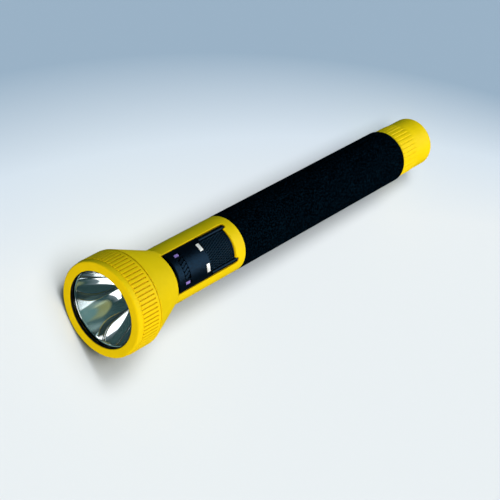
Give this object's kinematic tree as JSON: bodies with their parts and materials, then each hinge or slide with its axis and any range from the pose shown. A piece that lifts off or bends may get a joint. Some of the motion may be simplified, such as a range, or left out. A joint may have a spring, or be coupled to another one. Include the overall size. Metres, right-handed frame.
{
  "type": "firefighter flashlight",
  "caption": "Rechargeable firefighter's flashlight with a flared yellow head, ribbed face and tail caps, a recessed switch plate and a black foam grip.",
  "frame": {"origin": "centre of the tail cap's flat end face", "axes": "+X along the barrel's axis towards the lens, +Z out through the middle of the switch, +Y to the left when looking along the beam"},
  "size_m": [0.328, 0.0622, 0.0622],
  "materials": {
    "yellow_nylon": "satin moulded nylon, bright safety yellow",
    "yellow_nylon_cap": "satin moulded nylon, bright safety yellow",
    "black_foam": "fine-grained closed-cell foam, matte",
    "black_rubber": "moulded rubber, matte",
    "clear_lens": "clear polished",
    "bright_reflector": "bright vacuum-metallised",
    "bulb_glass": "clear thin glass",
    "tungsten": "drawn wire",
    "bulb_metal": "satin nickel-plated",
    "brass_parts": "stamped, slightly tarnished",
    "black_moulding": "glass-filled, matte",
    "blue_black_plate": "satin, blue-black",
    "button_rubber": "fine diamond knurl, satin",
    "white_moulding": "natural acetal",
    "spring_steel": "bright spring wire",
    "nickel_contacts": "nickel-plated",
    "violet_pads": "satin violet",
    "battery_wrap": "heat-shrunk film",
    "cell_can": "nickel-plated can"
  },
  "bodies": {
    "barrel": {"barrel_housing": "yellow_nylon", "grip_sleeve": "black_foam", "face_cap_o_ring": "black_rubber", "tail_cap_o_ring": "black_rubber", "switch_plate": "blue_black_plate", "switch_module": "black_moulding", "switch_spring": "spring_steel", "contact_blades": "brass_parts", "charge_contacts": "nickel_contacts", "charge_pins": "nickel_contacts", "indicator_pads": "violet_pads", "front_contact": "brass_parts", "battery_wrap": "battery_wrap", "battery_cell_1": "cell_can", "battery_cell_2": "cell_can", "battery_cell_3": "cell_can", "battery_cell_4": "cell_can", "battery_cell_5": "cell_can", "conductor_strip": "brass_parts", "bulb_socket": "black_moulding", "bulb_base": "bulb_metal", "bulb_retainer": "brass_parts", "bulb_envelope": "bulb_glass", "bulb_filament": "tungsten"},
    "button": {"switch_button": "button_rubber", "switch_plunger": "white_moulding"},
    "optics": {"reflector": "bright_reflector", "lens": "clear_lens", "lens_gasket": "black_rubber"},
    "face_ring": {"face_cap": "yellow_nylon_cap"},
    "tail_contact": {"tail_contact_plate": "brass_parts", "tail_spring": "spring_steel", "spare_bulb_holder": "black_rubber", "spare_bulb": "bulb_metal"},
    "tail_end": {"tail_cap": "yellow_nylon_cap"}
  },
  "joints": [
    {"name": "switch_press", "type": "slide", "parent": "barrel", "child": "button", "axis": [0, 0, -1], "range_m": [0, 0.0012], "stiffness_N_per_m": 1500, "springref_m": -0.0015, "deforming": ["switch_spring"]},
    {"name": "face_travel", "type": "slide", "parent": "barrel", "child": "optics", "axis": [1, 0, 0], "range_m": [0, 0.006]},
    {"name": "face_cap_turn", "type": "hinge", "parent": "optics", "child": "face_ring", "pos_m": [0.32, 0, 0], "axis": [1, 0, 0], "range_deg": [0, 720]},
    {"name": "tail_travel", "type": "slide", "parent": "barrel", "child": "tail_contact", "axis": [-1, 0, 0], "range_m": [0, 0.01]},
    {"name": "tail_cap_turn", "type": "hinge", "parent": "tail_contact", "child": "tail_end", "pos_m": [0.02, 0, 0], "axis": [-1, 0, 0], "range_deg": [0, 1440]}
  ],
  "couplings": [
    {"joint": "face_travel", "follows": "face_cap_turn", "m_per_rad": 0.00047746},
    {"joint": "tail_travel", "follows": "tail_cap_turn", "m_per_rad": 0.00039789}
  ]
}
